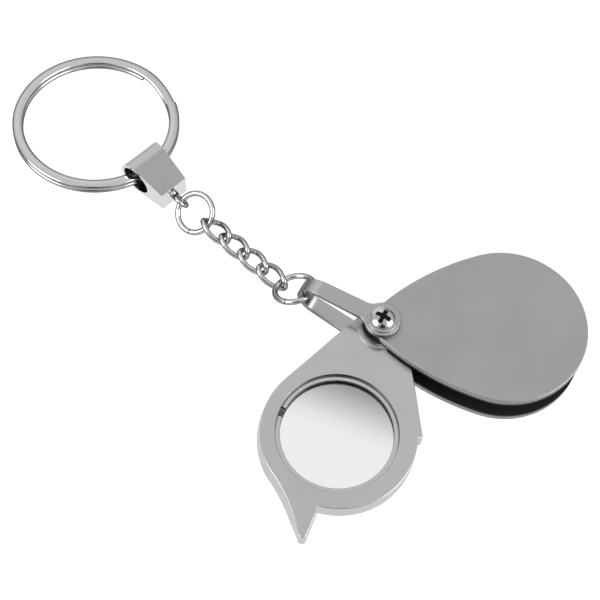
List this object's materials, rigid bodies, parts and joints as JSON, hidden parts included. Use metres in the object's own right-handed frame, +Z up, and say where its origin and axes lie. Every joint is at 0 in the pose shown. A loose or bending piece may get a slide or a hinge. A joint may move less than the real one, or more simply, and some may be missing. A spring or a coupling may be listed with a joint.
{
  "type": "folding pocket loupe",
  "caption": "Folding pocket loupe: a framed round lens swings on a screw pivot out of a two-plate steel cover, with a clevis, curb chain, swivel connector and split key ring.",
  "frame": {"origin": "pivot axis at the flat underside of the barrel nut, on the table", "axes": "+Z up along the pivot, +X from the pivot to the cover's round end, +Y towards the cover's closed spine side; the lens stands open on the -Y side"},
  "size_m": [0.1004, 0.0935, 0.0127],
  "materials": {
    "satin_steel": "satin, finely brushed",
    "polished_frame": "polished",
    "nickel_plate": "bright plated",
    "washer_steel": "fine ground",
    "spring_steel": "polished",
    "black_enamel": "satin",
    "black_sheet": "matte",
    "black_washer": "matte",
    "lens_glass": "clear"
  },
  "bodies": {
    "cover": {"cover_bottom_plate": "satin_steel", "cover_top_plate": "satin_steel", "cover_spine": "black_enamel", "liner_bottom": "black_sheet", "liner_top": "black_sheet", "spacer_lower": "black_washer", "spacer_upper": "black_washer", "friction_washer_lower": "washer_steel", "friction_washer_upper": "washer_steel", "barrel_nut": "nickel_plate", "screw_washer": "nickel_plate", "pivot_screw": "nickel_plate"},
    "lens_frame": {"lens_frame": "polished_frame", "lens": "lens_glass", "lens_snap_ring": "spring_steel"},
    "clevis": {"clevis": "nickel_plate"},
    "lower_ring": {"jump_ring_lower": "nickel_plate"},
    "link_4": {"chain_link_4": "nickel_plate"},
    "link_3": {"chain_link_3": "nickel_plate"},
    "link_2": {"chain_link_2": "nickel_plate"},
    "link_1": {"chain_link_1": "nickel_plate"},
    "upper_ring": {"jump_ring_upper": "nickel_plate"},
    "swivel_eye": {"swivel_eye": "nickel_plate"},
    "connector": {"key_connector": "nickel_plate"},
    "key_ring": {"key_ring": "spring_steel"}
  },
  "joints": [
    {"name": "lens_frame_swing", "type": "hinge", "parent": "cover", "child": "lens_frame", "pos_m": [0, 0, 0.0061], "axis": [0, 0, 1], "range_deg": [-25, 109.5]},
    {"name": "clevis_swing", "type": "hinge", "parent": "cover", "child": "clevis", "pos_m": [0, 0, 0.0061], "axis": [0, 0, 1], "range_deg": [-50, 20]},
    {"name": "lower_ring_tip", "type": "hinge", "parent": "clevis", "child": "lower_ring", "pos_m": [-0.01313, 0.00683, 0.00727], "axis": [-0.4617, -0.887, 0], "range_deg": [-20, 5]},
    {"name": "link_4_yaw", "type": "hinge", "parent": "lower_ring", "child": "link_4", "pos_m": [-0.01655, 0.00904, 0.00459], "axis": [-0.0446, 0.0402, 0.9982], "range_deg": [-12, 12]},
    {"name": "link_3_pitch", "type": "hinge", "parent": "link_4", "child": "link_3", "pos_m": [-0.02, 0.01215, 0.00431], "axis": [-0.6691, -0.7431, 0], "range_deg": [-12, 12]},
    {"name": "link_2_yaw", "type": "hinge", "parent": "link_3", "child": "link_2", "pos_m": [-0.02337, 0.01518, 0.00404], "axis": [-0.0446, 0.0402, 0.9982], "range_deg": [-12, 12]},
    {"name": "link_1_pitch", "type": "hinge", "parent": "link_2", "child": "link_1", "pos_m": [-0.02675, 0.01822, 0.00377], "axis": [-0.6691, -0.7431, 0], "range_deg": [-12, 12]},
    {"name": "upper_ring_yaw", "type": "hinge", "parent": "link_1", "child": "upper_ring", "pos_m": [-0.0302, 0.02133, 0.00349], "axis": [-0.0446, 0.0402, 0.9982], "range_deg": [-12, 12]},
    {"name": "swivel_eye_pitch", "type": "hinge", "parent": "upper_ring", "child": "swivel_eye", "pos_m": [-0.03446, 0.02517, 0.00314], "axis": [-0.6691, -0.7431, 0], "range_deg": [-12, 12]},
    {"name": "swivel_spin", "type": "hinge", "parent": "swivel_eye", "child": "connector", "pos_m": [-0.03621, 0.02692, 0.0031], "axis": [-0.6909, 0.723, 0], "continuous": true},
    {"name": "key_ring_swing", "type": "hinge", "parent": "connector", "child": "key_ring", "pos_m": [-0.04118, 0.03213, 0.00272], "axis": [-0.723, -0.6909, 0], "range_deg": [-90, 90]}
  ]
}
